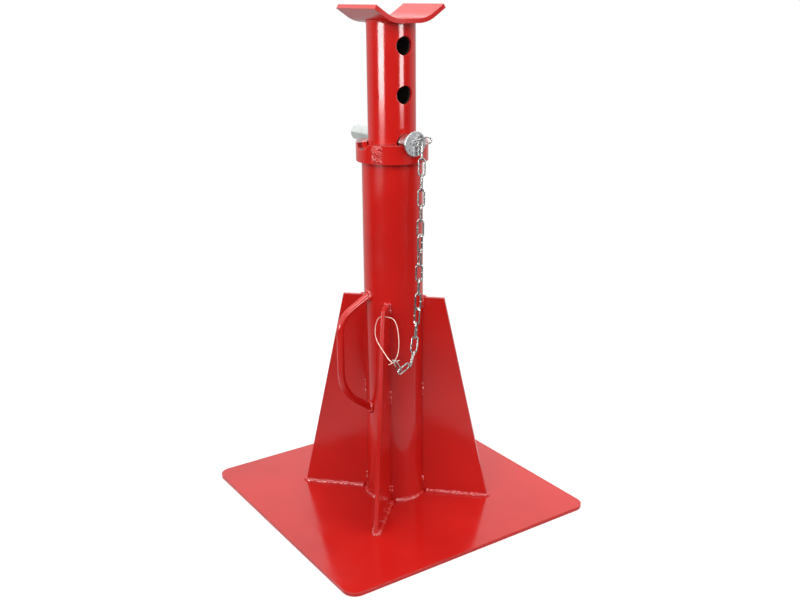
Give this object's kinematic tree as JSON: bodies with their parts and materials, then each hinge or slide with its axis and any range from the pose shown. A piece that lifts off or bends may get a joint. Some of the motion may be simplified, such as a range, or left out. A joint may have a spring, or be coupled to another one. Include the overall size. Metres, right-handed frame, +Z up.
{
  "type": "pinned axle jack stand",
  "caption": "Square-based jack stand: a drilled ram slides in a gusseted column and hangs on a chained cross pin, with a bent saddle on top and a carry handle.",
  "frame": {"origin": "centre of the base plate's underside, on the column's axis", "axes": "+Z up along the column; +X towards the side away from the carry handle; the load pin lies along Y with its head and chain on the -Y side"},
  "size_m": [0.4, 0.4, 0.7023],
  "materials": {
    "red_paint": "gloss red enamel over welded steel",
    "zinc_plate": "zinc-plated turned steel",
    "chain_steel": "zinc-plated welded wire chain",
    "tether_wire": "galvanised soft wire"
  },
  "bodies": {
    "stand": {"base_plate": "red_paint", "gusset_front": "red_paint", "gusset_right": "red_paint", "gusset_back": "red_paint", "gusset_left": "red_paint", "column_tube": "red_paint", "notched_collar": "red_paint", "carry_handle": "red_paint"},
    "ram": {"ram_tube": "red_paint", "saddle": "red_paint"},
    "pin": {"load_pin": "zinc_plate", "pin_head": "zinc_plate", "pin_link": "chain_steel"},
    "link_01": {"chain_link_01": "chain_steel"},
    "link_02": {"chain_link_02": "chain_steel"},
    "link_03": {"chain_link_03": "chain_steel"},
    "link_04": {"chain_link_04": "chain_steel"},
    "link_05": {"chain_link_05": "chain_steel"},
    "link_06": {"chain_link_06": "chain_steel"},
    "link_07": {"chain_link_07": "chain_steel"},
    "link_08": {"chain_link_08": "chain_steel"},
    "link_09": {"chain_link_09": "chain_steel"},
    "link_10": {"chain_link_10": "chain_steel"},
    "link_11": {"chain_link_11": "chain_steel"},
    "link_12": {"chain_link_12": "chain_steel"},
    "link_13": {"chain_link_13": "chain_steel"},
    "link_14": {"chain_link_14": "chain_steel"},
    "link_15": {"chain_link_15": "chain_steel"},
    "tether": {"tether_wire": "tether_wire", "chain_link_16": "chain_steel", "chain_link_17": "chain_steel"}
  },
  "joints": [
    {"name": "ram_lift", "type": "slide", "parent": "stand", "child": "ram", "axis": [0, 0, 1], "range_m": [0, 0.124]},
    {"name": "pin_slide", "type": "slide", "parent": "ram", "child": "pin", "axis": [0, -1, 0], "range_m": [0, 0.15]},
    {"name": "chain_swing", "type": "hinge", "parent": "pin", "child": "link_01", "pos_m": [0.00632, -0.06139, 0.52838], "axis": [-1, 0, 0], "range_deg": [0, 16]},
    {"name": "chain_curl", "type": "hinge", "parent": "link_01", "child": "link_02", "pos_m": [0.00575, -0.06157, 0.50814], "axis": [-1, 0, 0], "range_deg": [0, 3]},
    {"name": "curl_03", "type": "hinge", "parent": "link_02", "child": "link_03", "pos_m": [0.00515, -0.06176, 0.4879], "axis": [-1, 0, 0], "range_deg": [0, 3]},
    {"name": "curl_04", "type": "hinge", "parent": "link_03", "child": "link_04", "pos_m": [0.0045, -0.06197, 0.46766], "axis": [-1, 0, 0], "range_deg": [0, 3]},
    {"name": "curl_05", "type": "hinge", "parent": "link_04", "child": "link_05", "pos_m": [0.0038, -0.06219, 0.44742], "axis": [-1, 0, 0], "range_deg": [0, 3]},
    {"name": "curl_06", "type": "hinge", "parent": "link_05", "child": "link_06", "pos_m": [0.00303, -0.06244, 0.42719], "axis": [-1, 0, 0], "range_deg": [0, 3]},
    {"name": "curl_07", "type": "hinge", "parent": "link_06", "child": "link_07", "pos_m": [0.00219, -0.0627, 0.40696], "axis": [-1, 0, 0], "range_deg": [0, 3]},
    {"name": "curl_08", "type": "hinge", "parent": "link_07", "child": "link_08", "pos_m": [0.00126, -0.063, 0.38673], "axis": [-1, 0, 0], "range_deg": [0, 3]},
    {"name": "curl_09", "type": "hinge", "parent": "link_08", "child": "link_09", "pos_m": [0.00021, -0.06333, 0.36651], "axis": [-1, 0, 0], "range_deg": [0, 3]},
    {"name": "curl_10", "type": "hinge", "parent": "link_09", "child": "link_10", "pos_m": [-0.00098, -0.06371, 0.3463], "axis": [-1, 0, 0], "range_deg": [0, 3]},
    {"name": "curl_11", "type": "hinge", "parent": "link_10", "child": "link_11", "pos_m": [-0.00237, -0.06415, 0.3261], "axis": [-1, 0, 0], "range_deg": [0, 3]},
    {"name": "curl_12", "type": "hinge", "parent": "link_11", "child": "link_12", "pos_m": [-0.00402, -0.06467, 0.30593], "axis": [-1, 0, 0], "range_deg": [0, 3]},
    {"name": "curl_13", "type": "hinge", "parent": "link_12", "child": "link_13", "pos_m": [-0.00607, -0.06532, 0.28579], "axis": [-1, 0, 0], "range_deg": [0, 3]},
    {"name": "curl_14", "type": "hinge", "parent": "link_13", "child": "link_14", "pos_m": [-0.00875, -0.06617, 0.26574], "axis": [-1, 0, 0], "range_deg": [0, 3]},
    {"name": "curl_15", "type": "hinge", "parent": "link_14", "child": "link_15", "pos_m": [-0.01265, -0.06741, 0.24591], "axis": [-1, 0, 0], "range_deg": [0, 3]},
    {"name": "tether_swing", "type": "hinge", "parent": "stand", "child": "tether", "pos_m": [-0.04738, -0.04738, 0.297], "axis": [-0.7071, 0.7071, 0], "range_deg": [0, 45]}
  ],
  "couplings": [
    {"joint": "curl_03", "follows": "chain_curl", "ratio": 1},
    {"joint": "curl_04", "follows": "chain_curl", "ratio": 1},
    {"joint": "curl_05", "follows": "chain_curl", "ratio": 1},
    {"joint": "curl_06", "follows": "chain_curl", "ratio": 1},
    {"joint": "curl_07", "follows": "chain_curl", "ratio": 1},
    {"joint": "curl_08", "follows": "chain_curl", "ratio": 1},
    {"joint": "curl_09", "follows": "chain_curl", "ratio": 1},
    {"joint": "curl_10", "follows": "chain_curl", "ratio": 1},
    {"joint": "curl_11", "follows": "chain_curl", "ratio": 1},
    {"joint": "curl_12", "follows": "chain_curl", "ratio": 1},
    {"joint": "curl_13", "follows": "chain_curl", "ratio": 1},
    {"joint": "curl_14", "follows": "chain_curl", "ratio": 1},
    {"joint": "curl_15", "follows": "chain_curl", "ratio": 1}
  ]
}
